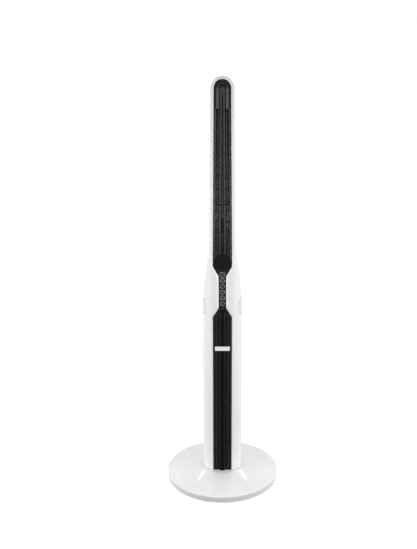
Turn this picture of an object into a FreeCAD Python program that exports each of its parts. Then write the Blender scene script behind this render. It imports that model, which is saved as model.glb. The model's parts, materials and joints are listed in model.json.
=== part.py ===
"""Tower fan heater: a slim swinging tower on a round base.

Millimetres. The floor is z = 0, the swing axis is the Z axis and the front faces -Y.
"""
import FreeCAD, Part
import math
import os

from FreeCAD import Vector

# Clearances
FIT = 0.3             # between neighbouring pieces that do not move on each other
RUN = 0.05            # radial clearance of a turning or sliding fit
SEAT = 0.1            # overlap that roots a boss or rib in the wall that carries it
OVERCUT = 1.0         # a hole is cut this far past the face it opens in

# Tower outer form
TOP_Z = 985.0
COLUMN_HALF = 47.0
COLUMN_FRONT = 42.0   # front face, forward of the swing axis
COLUMN_BACK = 47.0
COLUMN_FRONT_ROUND = 30.0
COLUMN_BACK_ROUND = 40.0
SHOULDER_START = 430.0
SHOULDER_END = 612.0
SHOULDER_SKEW = 1.5   # above 1 the shoulder turns in later
SHOULDER_STEPS = 10
BLADE_HALF = 30.2
BLADE_TOP_HALF = 26.5
BLADE_BACK = 18.0
BLADE_TOP_BACK = 12.0
BLADE_FRONT_ROUND = 6.0
BLADE_BACK_ROUND = 14.0
WALL = 2.5
SPLIT_Y = 0.0         # parting plane of the two housings

# Black inset in the front: outline half-widths and heights
INSET_TOP_MARGIN = 5.6
INSET_TOP_HALF = 18.8
INSET_BLADE_HALF = 22.4
INSET_NECK_HALF = 8.6
INSET_STRIP_HALF = 22.3
UPPER_FUNNEL_TOP = 558.2
UPPER_FUNNEL_BOTTOM = 533.8
LOWER_FUNNEL_TOP = 457.8
LOWER_FUNNEL_BOTTOM = 434.4
FUNNEL_OUTER_ROUND = 10.0
FUNNEL_INNER_ROUND = 14.0
BEZEL_W = 5.0         # sloping white border round the inset
BEZEL_DEPTH = 3.2
PANEL_T = 3.2         # black panels, seat to face
LEDGE_W = 1.5         # the panels seat on this ledge
LEDGE_T = 2.5
FRAME_W = 7.0         # width of the stiffening frame behind the bezel

# Lower trim strip
TRIM_TOP = 451.2
TRIM_TAPER_Z = 435.2  # above this the ribs are drawn in and fade out
TRIM_TIP_Z = 448.2
TRIM_TIP_SHARE = 0.63
TRIM_TIP_RISE_SHARE = 0.1
TRIM_RIB_HALF = 9.1
TRIM_RIB_RISE = 5.6
TRIM_SIDE_RIB_W = 6.2
TRIM_SIDE_RIB_RISE = 2.0
TRIM_GROOVE_W = 1.3
BADGE_W = 35.5
BADGE_H = 10.5
BADGE_T = 1.6
BADGE_Z = 356.1
BADGE_POCKET_RISE = 2.6
BADGE_MARGIN = 1.4

# Display and keys
DISPLAY_Z = 568.0
DISPLAY_RIM_R = 20.0
DISPLAY_RIM_RISE = 1.6
DISPLAY_RIM_SLOPE = 0.8
LENS_R = 18.5
LENS_T = 1.8
LENS_WINDOW_R = 13.0
KEY_TOP_Z = 538.4
KEY_PITCH = 14.0
KEY_COUNT = 6
KEY_R = 5.6
POWER_KEY_R = 6.7
KEY_RISE = 0.9
KEY_TRAVEL = 0.6
KEY_FLANGE_W = 0.7
KEY_FLANGE_T = 0.8
SWITCH_GAP = 0.1      # left at the end of a key's travel
SWITCH_W = 5.0
BOARD_T = 1.6
BOARD_HALF = 14.0
MODULE_W = 19.0
MODULE_H = 14.0

# Outlet grille: its lines follow the edge of the inset, at these distances from it
RIM_BEAD = (2.4, 5.2)
SLOT = (5.2, 9.6)
THIN_RIB = (9.6, 11.8)
GROOVE = (11.8, 14.1)
LOW_FLUTE = (6.9, 11.8)
CHANNEL_MOUTH = 17.9
CHANNEL_FLOOR = 18.9
RIM_BEAD_FOOT_RISE = 0.6
RIM_BEAD_RISE = 1.4
THIN_RIB_FOOT_RISE = 2.8
THIN_RIB_RISE = 3.5
CREST_W = 0.3
MAIN_RIB_FOOT_RISE = 3.5
MAIN_RIB_RISE = 5.6
MAIN_RIB_SLOPE = 2.8
CHANNEL_RISE = 3.5
CHANNEL_TOP_MARGIN = 40.0
HIGH_FLUTE_RISE = 3.6
LOW_FLUTE_RISE = 1.8
GROOVE_DEPTH = 2.4
SLOT_BOTTOM = 637.1
SLOT_TOP_MARGIN = 69.0
SLOT_PITCH = 25.3
BAR_T = 2.2
BAR_RISE = 1.6
TICK_T = 1.6
TICK_DEPTH = 1.6
JOINT_Z = 704.6
JOINT_T = 2.0
JOINT_BAR_T = 7.4
SENSOR_HALF = 2.0
SENSOR_H = 33.0
SENSOR_DEPTH = 1.2
SENSOR_T = 1.6
SENSOR_LIFT = 2.0     # above the lowest slot edge

# Intake slots
INTAKE_TOP = 475.0
INTAKE_PITCH = 8.05
INTAKE_H = 1.8
INTAKE_SIDE_ROWS = 5
INTAKE_BACK_ROWS = 10
INTAKE_FRONT_Y = -34.0
INTAKE_BACK_HALF = 21.0
INTAKE_POST_W = 3.0
INTAKE_EDGE = 4.0
FILTER_T = 1.2
FILTER_MARGIN = 2.0

# Base
BASE_R = 139.0
BASE_EDGE_Z = 15.0     # where the cone meets the rim, before it is rounded
BASE_RIM_ROUND = 2.0
BASE_HUB_Z = 30.5
BASE_HUB_R = 57.0
COVER_T = 2.5
SKIRT_GAP = 0.4       # under the edge of the cover
PLATE_T = 3.0
FOOT_H = 1.0
FOOT_R = 8.0
FOOT_INSET = 24.0      # foot centres, inside the edge of the base
FOOT_COUNT = 6
FOOT_CHAMFER = 0.4
BALLAST_IN_R = 76.0
BALLAST_INSET = 10.0   # outer edge of the weight, inside the edge of the base
BALLAST_T = 6.0
BALLAST_NOTCH_GAP = 1.5
BASE_SCREW_RING_R = 67.0
BASE_SCREW_ANGLES = (0, 45, 135, 225, 270, 315)
GLAND_Z = 7.6
GLAND_R = 4.6
GLAND_BORE_R = 3.4
GLAND_COLLAR_HALF = 9.0
GLAND_COLLAR_L = 8.0
GLAND_L = 25.0
GLAND_INSET = 0.7

# Swing drive
BEARING_T = 1.0
BEARING_SINK = 0.5    # groove of the bearing in the base
BEARING_IN_R = 30.0
BEARING_OUT_R = 40.0
HUB_PLATE_T = 4.0
SPIGOT_R = 24.0
SPIGOT_BORE_R = 18.0
HUB_BOSS_R = 34.0
HUB_BOSS_T = 5.5
HUB_LIFT_GAP = 0.8
HUB_SCREW_FRONT_INSET = 13.7
HUB_SCREW_BACK_INSET = 7.4
HUB_SCREW_BACK_Y = 14.0
HUB_SCREW_BOSS_R = 5.2
HUB_SCREW_BOSS_H = 16.0
GEAR_MODULE = 1.25
GEAR_TEETH = 64
PINION_TEETH = 16
SECTOR_TEETH = 21
GEAR_T = 4.0
GEAR_RING_R = 31.0
ADDENDUM = 0.85       # of the module
DEDENDUM = 1.2
BACKLASH = 0.2
PRESSURE_ANGLE = math.radians(20)
DRIVE_MOTOR_R = 14.0
DRIVE_MOTOR_GAP = 1.2
DRIVE_SHAFT_R = 2.5
DRIVE_EAR_X = 18.4
DRIVE_EAR_T = 1.6
DRIVE_EAR_R = 4.0
DRIVE_POST_R = 3.5
DRIVE_SHAFT_FOOT = 4.0
DRIVE_SCREW_GRIP = 6.0
GEAR_SCREW_COUNT = 3
GEAR_SCREW_START = -90.0
GEAR_SCREW_GRIP = 5.0
FLANK_STEPS = 4

# Tip-over switch
TIP_X = -62.0
TIP_PIN_R = 3.0
TIP_FLANGE_R = 4.6
TIP_FLANGE_T = 2.2
TIP_TRAVEL = 4.0
TIP_GAP = 0.5
TIP_BODY_L = 22.0
TIP_BODY_W = 7.0
TIP_BODY_H = 9.0
TIP_LEG_W = 4.0

# Fan
FAN_Y = 5.0
DECK_Z = 480.5
DECK_T = 3.0
DECK_FRONT_Y = -30.0
IMPELLER_R = 31.5
IMPELLER_HUB_R = 16.0
IMPELLER_H = 14.0      # of the blades
IMPELLER_HUB_H = 17.0
IMPELLER_GAP = 1.6     # over the motor screws
NOSE_R = 8.8
NOSE_H = 4.0
IMPELLER_BLADES = 7
BLADE_T = 1.2
BLADE_ROOT = 1.0
BLADE_PITCH_ANGLE = 42.0
TIP_CLEARANCE = 0.7
SHROUD_T = 1.8
SHROUD_H = 19.0
FAN_SHAFT_R = 2.5
FAN_MOTOR_R = 24.0
FAN_MOTOR_H = 52.0
FAN_BELL_R = 14.4
FAN_BELL_H = 8.0
FAN_SHAFT_INSET = 1.0
MOTOR_SCREW_RING_R = 15.0
MOTOR_SCREW_COUNT = 3
MOTOR_SCREW_START = 30.0
MOTOR_SCREW_GRIP = 6.0
SPIDER_R = 26.0
SPIDER_BORE_R = 6.0
SPIDER_ARMS = 3
SPIDER_ARM_W = 6.0
SPIDER_LAP = 0.5
DECK_LEDGE_H = 3.2
DECK_LEDGE_W = 8.0
DECK_LEDGE_REACH = 20.0
DUCT_T = 1.5
DUCT_TOP_HALF = 26.0
DUCT_TOP_BACK = 13.4
DUCT_TOP_Z = 606.0
DUCT_BOARD_GAP = 2.0
DUCT_FLAT = 0.1       # flat left between the rounds of the duct foot

# Heater
HEATER_HALF = 23.0
HEATER_DEPTH = 17.0
HEATER_RAIL = 7.0
HEATER_END = 11.0
HEATER_BOTTOM_MARGIN = 1.0
HEATER_TOP_MARGIN = 73.0
PTC_X = 5.4
PTC_T = 2.4
FIN_PITCH = 4.0
FIN_T = 0.5
FIN_INSET = 2.0
FIN_GAP = 0.1
CUTOUT_R = 7.0
CUTOUT_H = 6.0
TAB_X = 2.0
TAB_W = 3.0
TAB_T = 0.8
TAB_L = 7.0

# Screws
SCREW_R = 1.5
SCREW_HEAD_R = 3.0
SCREW_HEAD_H = 2.2
SCREW_BOSS_R = 4.8
SCREW_GRIP = 12.0
PILOT_SPARE = 2.0     # pilot hole past the end of a screw
COUNTERBORE_R = 3.6
SMALL_SCREW_R = 1.1
SMALL_HEAD_R = 2.1
SMALL_HEAD_H = 1.4
COLUMN_SEAT_Y = 12.0  # screw seats in the rear housing
BLADE_SEAT_Y = 5.0
SCREW_COLUMN_INSET = 14.0
SCREW_BLADE_INSET = 6.2
SCREW_LOW_RISE = 60.0
SCREW_HIGH_DROP = 30.0
SCREW_BLADE_RISE = 10.0
SCREW_TOP_DROP = 51.0

# Power electronics
POWER_BOARD_Y = 10.4
POWER_BOARD_HALF = 26.0
POWER_BOARD_BOTTOM = 90.0
POWER_BOARD_TOP = 232.0
POST_R = 3.2
POST_INSET = 6.0
RELAY_COUNT = 3
RELAY_PITCH = 22.0
RELAY = (-24.0, -9.0, 15.5, 16.0, 35.0)       # left, right, height off the board, low and high edge
TRANSFORMER = (-4.0, 22.0, 22.0, 16.0, 48.0)
SINK_PLATE = (-4.0, 22.0, 2.5, 78.0, 118.0)
SINK_FIN_H = 16.0
SINK_FIN_T = 2.0
SINK_FIN_COUNT = 6
CAPACITOR_R = 7.0
CAPACITOR_H = 24.0
CAPACITOR_X = 8.0
CAPACITOR_Z = 62.0

# Heights and depths that follow from the values above
FRONT_Y = -COLUMN_FRONT
ARC_Z = TOP_Z - BLADE_TOP_HALF
INSET_TOP = TOP_Z - INSET_TOP_MARGIN
BEZEL_Y = FRONT_Y + BEZEL_DEPTH
FACE_Y = BEZEL_Y + FIT
PANEL_SEAT_Y = FACE_Y + PANEL_T
LEDGE_BACK_Y = PANEL_SEAT_Y + LEDGE_T
BEARING_Z = BASE_HUB_Z - BEARING_SINK
TOWER_BOTTOM = BEARING_Z + BEARING_T
PLATE_TOP = FOOT_H + PLATE_T
FOOT_RING_R = BASE_R - FOOT_INSET
BALLAST_OUT_R = BASE_R - BALLAST_INSET
SLOT_TOP = TOP_Z - SLOT_TOP_MARGIN
CHANNEL_TOP = TOP_Z - CHANNEL_TOP_MARGIN
GEAR_TOP = BASE_HUB_Z - HUB_BOSS_T - HUB_LIFT_GAP
GEAR_BOTTOM = GEAR_TOP - GEAR_T
GEAR_R = GEAR_MODULE * GEAR_TEETH / 2
PINION_R = GEAR_MODULE * PINION_TEETH / 2
DRIVE_Y = GEAR_R + PINION_R
DRIVE_MOTOR_TOP = GEAR_BOTTOM - DRIVE_MOTOR_GAP
SHROUD_R = IMPELLER_R + TIP_CLEARANCE
SHROUD_TOP = DECK_Z + DECK_T + SHROUD_H
HEATER_BOTTOM = SLOT_BOTTOM - HEATER_BOTTOM_MARGIN
HEATER_TOP = TOP_Z - HEATER_TOP_MARGIN
FAR = 2 * COLUMN_HALF


def box(x0, x1, y0, y1, z0, z1):
    """Box between two corners."""
    return Part.makeBox(x1 - x0, y1 - y0, z1 - z0, Vector(x0, y0, z0))


def rod_z(radius, z0, z1, x=0.0, y=0.0):
    """Upright cylinder."""
    return Part.makeCylinder(radius, z1 - z0, Vector(x, y, z0))


def rod_x(radius, x0, x1, y=0.0, z=0.0):
    """Cylinder lying left to right."""
    return Part.makeCylinder(radius, x1 - x0, Vector(x0, y, z), Vector(1, 0, 0))


def rod_y(radius, y0, y1, x=0.0, z=0.0):
    """Cylinder lying front to back."""
    return Part.makeCylinder(radius, y1 - y0, Vector(x, y0, z), Vector(0, 1, 0))


def tube_z(outer, inner, z0, z1, x=0.0, y=0.0):
    """Upright tube."""
    return rod_z(outer, z0, z1, x, y).cut(rod_z(inner, z0, z1, x, y))


def fused(shapes):
    """One shape from several that overlap or touch."""
    return shapes[0].fuse(shapes[1:]) if len(shapes) > 1 else shapes[0]


def group(shapes):
    """Separate solids in one node."""
    return Part.makeCompound([solid for shape in shapes for solid in shape.Solids])


def both_sides(shape):
    """A shape and its mirror image across the middle plane."""
    return [shape, shape.mirror(Vector(0, 0, 0), Vector(1, 0, 0))]


def polar(radius, degrees):
    """Point on a circle in plan, angle from +X towards +Y."""
    angle = math.radians(degrees)
    return radius * math.cos(angle), radius * math.sin(angle)


def rounded_wire(corners, radii, place):
    """Closed wire of lines and tangent arcs round 2-D corners; place maps them to space."""
    starts, mids, ends = [], [], []
    count = len(corners)
    for i in range(count):
        here = Vector(corners[i][0], corners[i][1], 0)
        before = Vector(*corners[i - 1], 0) - here
        after = Vector(*corners[(i + 1) % count], 0) - here
        half = before.getAngle(after) / 2
        before.normalize()
        after.normalize()
        reach = radii[i] / math.tan(half)
        bisector = (before + after).normalize()
        starts.append(here + before * reach)
        mids.append(here + bisector * (radii[i] / math.sin(half) - radii[i]))
        ends.append(here + after * reach)
    edges = []
    for i in range(count):
        start, mid, end = (place(p.x, p.y) for p in (starts[i], mids[i], ends[i]))
        following = place(starts[(i + 1) % count].x, starts[(i + 1) % count].y)
        if radii[i] > 0:
            edges.append(Part.Arc(start, mid, end).toShape())
        edges.append(Part.makeLine(end, following))
    return Part.Wire(edges)


def polygon(points, place):
    """Closed wire of straight lines through 2-D points."""
    corners = [place(u, v) for u, v in points]
    return Part.makePolygon(corners + corners[:1])


def upright(y):
    """Mapping for an outline drawn as seen from the front, at depth y."""
    return lambda u, v: Vector(u, y, v)


def level(z):
    """Mapping for an outline drawn in plan, at height z."""
    return lambda u, v: Vector(u, v, z)


def ease(share):
    """Shoulder curve from 0 to 1, level at both ends."""
    skewed = share ** SHOULDER_SKEW
    return skewed * skewed * (3 - 2 * skewed)


def tower_section(z):
    """Half-width, front, back and the two corner rounds of the tower at height z."""
    column = (COLUMN_HALF, FRONT_Y, COLUMN_BACK, COLUMN_FRONT_ROUND, COLUMN_BACK_ROUND)
    blade = (BLADE_HALF, FRONT_Y, BLADE_BACK, BLADE_FRONT_ROUND, BLADE_BACK_ROUND)
    tip = (BLADE_TOP_HALF, FRONT_Y, BLADE_TOP_BACK, BLADE_FRONT_ROUND, BLADE_BACK_ROUND)
    if z <= SHOULDER_START:
        return column
    if z <= SHOULDER_END:
        share = ease((z - SHOULDER_START) / (SHOULDER_END - SHOULDER_START))
        low, high = column, blade
    else:
        share = (z - SHOULDER_END) / (ARC_Z - SHOULDER_END)
        low, high = blade, tip
    return tuple(a + (b - a) * share for a, b in zip(low, high))


def section_wire(z, inset):
    """Outline of the tower at height z, moved inwards by inset."""
    half, front, back, front_round, back_round = tower_section(z)
    x, y0, y1 = half - inset, front + inset, back - inset
    corners = [(-x, y0), (x, y0), (x, y1), (-x, y1)]
    radii = [front_round - inset] * 2 + [back_round - inset] * 2
    return rounded_wire(corners, radii, level(z))


def tower_body(inset, bottom):
    """Solid tower, moved inwards by inset, from height bottom to the round top."""
    column = Part.Face(section_wire(bottom, inset)).extrude(Vector(0, 0, SHOULDER_START - bottom))
    rise = (SHOULDER_END - SHOULDER_START) / SHOULDER_STEPS
    heights = [SHOULDER_START + rise * i for i in range(SHOULDER_STEPS)] + [SHOULDER_END]
    shoulder = Part.makeLoft([section_wire(z, inset) for z in heights], True, False)
    blade = Part.makeLoft([section_wire(z, inset) for z in (SHOULDER_END, ARC_Z)], True, True)
    half, front, back, front_round, back_round = tower_section(ARC_Z)
    x, y0, y1 = half - inset, front + inset, back - inset
    corners = [(0, y0), (x, y0), (x, y1), (0, y1)]
    radii = [0, front_round - inset, back_round - inset, 0]
    profile = Part.Face(rounded_wire(corners, radii, level(ARC_Z)))
    cap = profile.revolve(Vector(0, 0, ARC_Z), Vector(0, -1, 0), 180)
    return column.fuse([shoulder, blade, cap])


def inset_corners():
    """Corners of the black inset seen from the front, counter-clockwise, and their rounds."""
    right = [
        (INSET_STRIP_HALF, 0.0, 0.0),
        (INSET_STRIP_HALF, LOWER_FUNNEL_BOTTOM, FUNNEL_OUTER_ROUND),
        (INSET_NECK_HALF, LOWER_FUNNEL_TOP, -FUNNEL_INNER_ROUND),
        (INSET_NECK_HALF, UPPER_FUNNEL_BOTTOM, -FUNNEL_INNER_ROUND),
        (INSET_BLADE_HALF, UPPER_FUNNEL_TOP, FUNNEL_OUTER_ROUND),
        (INSET_TOP_HALF, INSET_TOP, INSET_TOP_HALF - FIT),
    ]
    left = [(-x, z, bend) for x, z, bend in reversed(right)]
    return right + left


def inset_wire(grow, y):
    """Outline of the black inset at depth y, moved outwards by grow; a negative bend is hollow."""
    table = inset_corners()
    count = len(table)
    lines = []
    for i in range(count):
        x0, z0, _ = table[i]
        x1, z1, _ = table[(i + 1) % count]
        length = math.hypot(x1 - x0, z1 - z0)
        out = ((z1 - z0) / length, -(x1 - x0) / length)
        lines.append((x0 + out[0] * grow, z0 + out[1] * grow, x1 - x0, z1 - z0))
    corners, radii = [], []
    for i in range(count):
        ax, az, adx, adz = lines[i - 1]
        bx, bz, bdx, bdz = lines[i]
        step = ((bx - ax) * bdz - (bz - az) * bdx) / (adx * bdz - adz * bdx)
        corners.append((ax + adx * step, az + adz * step))
        bend = table[i][2]
        radii.append(abs(bend + grow) if bend else 0.0)
    return rounded_wire(corners, radii, upright(y))


def inset_prism(grow, y0, y1):
    """The inset's outline, moved outwards by grow, as a prism from y0 to y1."""
    return Part.Face(inset_wire(grow, y0)).extrude(Vector(0, y1 - y0, 0))


def band(z0, z1):
    """Everything between two heights."""
    return box(-FAR, FAR, -FAR, FAR, z0, z1)


def housing_screw_places():
    """Right-hand housing screws: x, z and the depth of the head's seat."""
    column_x = COLUMN_HALF - SCREW_COLUMN_INSET
    low, high = TOWER_BOTTOM + SCREW_LOW_RISE, SHOULDER_START - SCREW_HIGH_DROP
    places = [(column_x, z, COLUMN_SEAT_Y) for z in (low, (low + high) / 2, high)]
    places.append((BLADE_HALF - SCREW_BLADE_INSET, SHOULDER_END + SCREW_BLADE_RISE, BLADE_SEAT_Y))
    places.append((BLADE_TOP_HALF - SCREW_BLADE_INSET, TOP_Z - SCREW_TOP_DROP, BLADE_SEAT_Y))
    return places


def screw_boss(x, z, y0, y1, grow=0.0):
    """Boss of a right-hand housing screw, with a web out to the side wall."""
    radius = SCREW_BOSS_R + grow
    top, bottom = Vector(x, y0, z + radius), Vector(x, y0, z - radius)
    nose = Part.Arc(top, Vector(x - radius, y0, z), bottom).toShape()
    web = Part.makePolygon([bottom, Vector(FAR, y0, bottom.z), Vector(FAR, y0, top.z), top])
    return Part.Face(Part.Wire([nose] + web.Edges)).extrude(Vector(0, y1 - y0, 0))


def screw_z(radius, head_r, head_h, seat_z, length, up, x, y):
    """Upright screw; the shank runs up or down from its seat."""
    if up:
        return rod_z(radius, seat_z, seat_z + length, x, y).fuse(rod_z(head_r, seat_z - head_h, seat_z, x, y))
    return rod_z(radius, seat_z - length, seat_z, x, y).fuse(rod_z(head_r, seat_z, seat_z + head_h, x, y))


def screw_y(radius, head_r, head_h, seat_y, length, x, z):
    """Screw driven forwards from a seat in the back."""
    return rod_y(radius, seat_y - length, seat_y, x, z).fuse(rod_y(head_r, seat_y, seat_y + head_h, x, z))


def intake_cutters():
    """Boxes that cut the intake slots: the top rows go round the sides, the rest stay on the back."""
    cutters = []
    spans = [(INTAKE_POST_W / 2, INTAKE_BACK_HALF)]
    side_span = (INTAKE_BACK_HALF + INTAKE_POST_W, FAR)
    for row in range(INTAKE_SIDE_ROWS + INTAKE_BACK_ROWS):
        z = INTAKE_TOP - INTAKE_PITCH * row
        z0, z1 = z - INTAKE_H / 2, z + INTAKE_H / 2
        wraps = row < INTAKE_SIDE_ROWS
        for x0, x1 in spans + ([side_span] if wraps else []):
            cutters += both_sides(box(x0, x1, SPLIT_Y + INTAKE_EDGE, FAR, z0, z1))
        if wraps:
            cutters += both_sides(box(COLUMN_HALF / 2, FAR, INTAKE_FRONT_Y, SPLIT_Y - INTAKE_EDGE, z0, z1))
    return cutters


def housing_shell():
    """Hollow tower with its intake slots, before it is split."""
    shell = tower_body(0.0, TOWER_BOTTOM).cut(tower_body(WALL, TOWER_BOTTOM))
    return shell.cut(intake_cutters())


def intake_filter():
    """Thin filter sleeve that lines the wall behind the intake slots, clear of the screw bosses."""
    rows = INTAKE_SIDE_ROWS + INTAKE_BACK_ROWS - 1
    z1 = INTAKE_TOP + FILTER_MARGIN
    z0 = INTAKE_TOP - INTAKE_PITCH * rows - FILTER_MARGIN
    zone = box(-FAR, FAR, INTAKE_FRONT_Y, FAR, z0, z1)
    inner = WALL + FIT + FILTER_T
    sleeve = tower_body(WALL + FIT, TOWER_BOTTOM).common(zone).cut(tower_body(inner, TOWER_BOTTOM))
    cuts = []
    for x, z, _ in housing_screw_places():
        cuts += both_sides(screw_boss(x, z, -FAR, FAR, FIT))
    return sleeve.cut(cuts)


def deck_ledges(y0, y1):
    """Ledges on the side walls that carry the fan deck."""
    inner = COLUMN_HALF - WALL - DECK_LEDGE_W
    return both_sides(box(inner, FAR, y0, y1, DECK_Z - DECK_LEDGE_H, DECK_Z))


def front_housing(shell, core):
    """Front shell with the sloping bezel, the panel ledge and its half of the screw bosses."""
    half = shell.common(box(-FAR, FAR, -FAR, SPLIT_Y, 0, TOP_Z))
    frame = inset_prism(FRAME_W, FRONT_Y + WALL - SEAT, LEDGE_BACK_Y)
    frame = frame.cut(inset_prism(-LEDGE_W, FRONT_Y, LEDGE_BACK_Y + OVERCUT))
    ribs = [frame]
    holes = []
    for x, z, _ in housing_screw_places():
        ribs += both_sides(screw_boss(x, z, FRONT_Y, SPLIT_Y))
        holes += both_sides(rod_y(SCREW_R + RUN, SPLIT_Y - SCREW_GRIP - PILOT_SPARE, SPLIT_Y, x, z))
    ribs += deck_ledges(SPLIT_Y - DECK_LEDGE_REACH, SPLIT_Y - INTAKE_EDGE)
    ribs += both_sides(hub_boss(*hub_screw_place(front=True)))
    inside = [rib.common(core) for rib in ribs]
    opening_y = FRONT_Y - BEZEL_DEPTH
    spread = BEZEL_W / BEZEL_DEPTH * (BEZEL_Y - opening_y)
    slope = Part.makeLoft([inset_wire(0.0, BEZEL_Y), inset_wire(spread, opening_y)], True, True)
    pocket = inset_prism(0.0, BEZEL_Y - SEAT, PANEL_SEAT_Y)
    holes += hub_screw_holes(front=True)
    return half.fuse(inside).cut([slope, pocket] + holes)


def hub_boss(x, y):
    """Boss in the foot of a housing for a screw from the swivel hub."""
    bottom = TOWER_BOTTOM + HUB_PLATE_T
    return rod_z(HUB_SCREW_BOSS_R, bottom, bottom + HUB_SCREW_BOSS_H, x, y)


def hub_screw_place(front):
    """Plan place of the right-hand hub screw in the front or the rear housing."""
    if front:
        return COLUMN_HALF - HUB_SCREW_FRONT_INSET, FRONT_Y + HUB_SCREW_FRONT_INSET
    return COLUMN_HALF - HUB_SCREW_BACK_INSET, HUB_SCREW_BACK_Y


def hub_screw_holes(front):
    """Pilot holes of the hub screws in one housing."""
    x, y = hub_screw_place(front)
    bottom = TOWER_BOTTOM + HUB_PLATE_T
    return both_sides(rod_z(SCREW_R + RUN, bottom, bottom + SCREW_GRIP, x, y))


def rear_housing(shell, core):
    """Rear shell with counterbored screw bosses and the posts of the power board."""
    half = shell.common(box(-FAR, FAR, SPLIT_Y, FAR, 0, TOP_Z))
    ribs = []
    holes = []
    for x, z, seat in housing_screw_places():
        ribs += both_sides(screw_boss(x, z, SPLIT_Y, FAR))
        holes += both_sides(rod_y(SCREW_R + RUN, SPLIT_Y, seat, x, z))
        holes += both_sides(rod_y(COUNTERBORE_R, seat, FAR, x, z))
    for x, z in board_post_places():
        ribs += both_sides(rod_y(POST_R, POWER_BOARD_Y + BOARD_T, FAR, x, z))
        holes += both_sides(rod_y(SMALL_SCREW_R + RUN, POWER_BOARD_Y, POWER_BOARD_Y + SCREW_GRIP, x, z))
    ribs += deck_ledges(SPLIT_Y + INTAKE_EDGE, SPLIT_Y + DECK_LEDGE_REACH)
    ribs += both_sides(hub_boss(*hub_screw_place(front=False)))
    holes += hub_screw_holes(front=False)
    inside = [rib.common(core) for rib in ribs]
    return half.fuse(inside).cut(holes)


def housing_screws():
    """Screws that hold the two housings together."""
    screws = []
    for x, z, seat in housing_screw_places():
        length = seat - SPLIT_Y + SCREW_GRIP
        screws += both_sides(screw_y(SCREW_R, SCREW_HEAD_R, SCREW_HEAD_H, seat, length, x, z))
    return group(screws)


def rib_wire(half, rise, x, z):
    """Outline of a rounded rib on the panels' face at height z, its foot sunk a little to root it."""
    left, right = Vector(x - half, FACE_Y, z), Vector(x + half, FACE_Y, z)
    root = Vector(0, SEAT, 0)
    arc = Part.Arc(left, Vector(x, FACE_Y - rise, z), right).toShape()
    foot = Part.makePolygon([right, right + root, left + root, left])
    return Part.Wire([arc] + foot.Edges)


def trim_rib(half, rise, x, bottom):
    """Rib of the lower strip: straight, then drawn in and fading out in the funnel."""
    straight = Part.Face(rib_wire(half, rise, x, bottom)).extrude(Vector(0, 0, TRIM_TAPER_Z - bottom))
    share = TRIM_TIP_SHARE
    tip = rib_wire(half * share, rise * TRIM_TIP_RISE_SHARE, x * share, TRIM_TIP_Z)
    taper = Part.makeLoft([rib_wire(half, rise, x, TRIM_TAPER_Z), tip], True, True)
    return straight.fuse(taper)


def lower_trim():
    """Long ribbed strip of the column, cut back under the badge."""
    bottom = TOWER_BOTTOM + FIT
    zone = band(bottom, TRIM_TOP)
    plate = inset_prism(-FIT, FACE_Y, PANEL_SEAT_Y).common(zone)
    ribs = [trim_rib(TRIM_RIB_HALF, TRIM_RIB_RISE, 0.0, bottom)]
    side_x = TRIM_RIB_HALF + TRIM_GROOVE_W + TRIM_SIDE_RIB_W / 2
    ribs += both_sides(trim_rib(TRIM_SIDE_RIB_W / 2, TRIM_SIDE_RIB_RISE, side_x, bottom))
    edge_in = side_x + TRIM_SIDE_RIB_W / 2 + TRIM_GROOVE_W
    edge_half = (INSET_STRIP_HALF - FIT - edge_in) / 2
    edge_x = edge_in + edge_half
    ribs += both_sides(trim_rib(edge_half, TRIM_SIDE_RIB_RISE, edge_x, bottom))
    outline = inset_prism(-FIT, FACE_Y - TRIM_RIB_RISE, PANEL_SEAT_Y).common(zone)
    strip = plate.fuse([rib.common(outline) for rib in ribs])
    half_h = BADGE_H / 2 + BADGE_MARGIN
    pocket_y = FACE_Y - BADGE_POCKET_RISE
    pad_half = BADGE_W / 2 + BADGE_MARGIN
    low, high = BADGE_Z - half_h, BADGE_Z + half_h
    strip = strip.cut(box(-FAR, FAR, -FAR, FACE_Y, low, high))
    return strip.fuse(box(-pad_half, pad_half, pocket_y, FACE_Y + SEAT, low, high))


def badge_plate():
    """Blank plate with rounded corners on its pad."""
    half_w, half_h = BADGE_W / 2, BADGE_H / 2
    corners = [(-half_w, -half_h), (half_w, -half_h), (half_w, half_h), (-half_w, half_h)]
    wire = rounded_wire([(x, z + BADGE_Z) for x, z in corners], [BADGE_MARGIN] * 4,
                        upright(FACE_Y - BADGE_POCKET_RISE - BADGE_T))
    return Part.Face(wire).extrude(Vector(0, BADGE_T, 0))


def key_places():
    """Height and cap radius of each key, from the top down."""
    radii = [POWER_KEY_R] + [KEY_R] * (KEY_COUNT - 1)
    return [(KEY_TOP_Z - KEY_PITCH * i, radius) for i, radius in enumerate(radii)]


def control_panel():
    """Funnel and neck panel with the display rim and the key holes."""
    panel = inset_prism(-FIT, FACE_Y, PANEL_SEAT_Y).common(band(TRIM_TOP + FIT, DISPLAY_Z))
    rim = rod_y(DISPLAY_RIM_R, FACE_Y, PANEL_SEAT_Y, 0, DISPLAY_Z)
    slope = Part.makeCone(DISPLAY_RIM_R, DISPLAY_RIM_R - DISPLAY_RIM_SLOPE, DISPLAY_RIM_RISE,
                          Vector(0, FACE_Y, DISPLAY_Z), Vector(0, -1, 0))
    panel = panel.fuse([rim, slope])
    lens_y = FACE_Y - DISPLAY_RIM_RISE + LENS_T
    holes = [rod_y(LENS_R + FIT, FRONT_Y - FAR, lens_y, 0, DISPLAY_Z)]
    holes.append(rod_y(LENS_WINDOW_R, FRONT_Y, PANEL_SEAT_Y + OVERCUT, 0, DISPLAY_Z))
    holes += [rod_y(radius + FIT, FRONT_Y - FAR, PANEL_SEAT_Y + OVERCUT, 0, z) for z, radius in key_places()]
    return panel.cut(holes)


def display_lens():
    """Round dark window, seated in the display rim."""
    lens_y = FACE_Y - DISPLAY_RIM_RISE + LENS_T
    return rod_y(LENS_R, lens_y - LENS_T, lens_y, 0, DISPLAY_Z)


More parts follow.
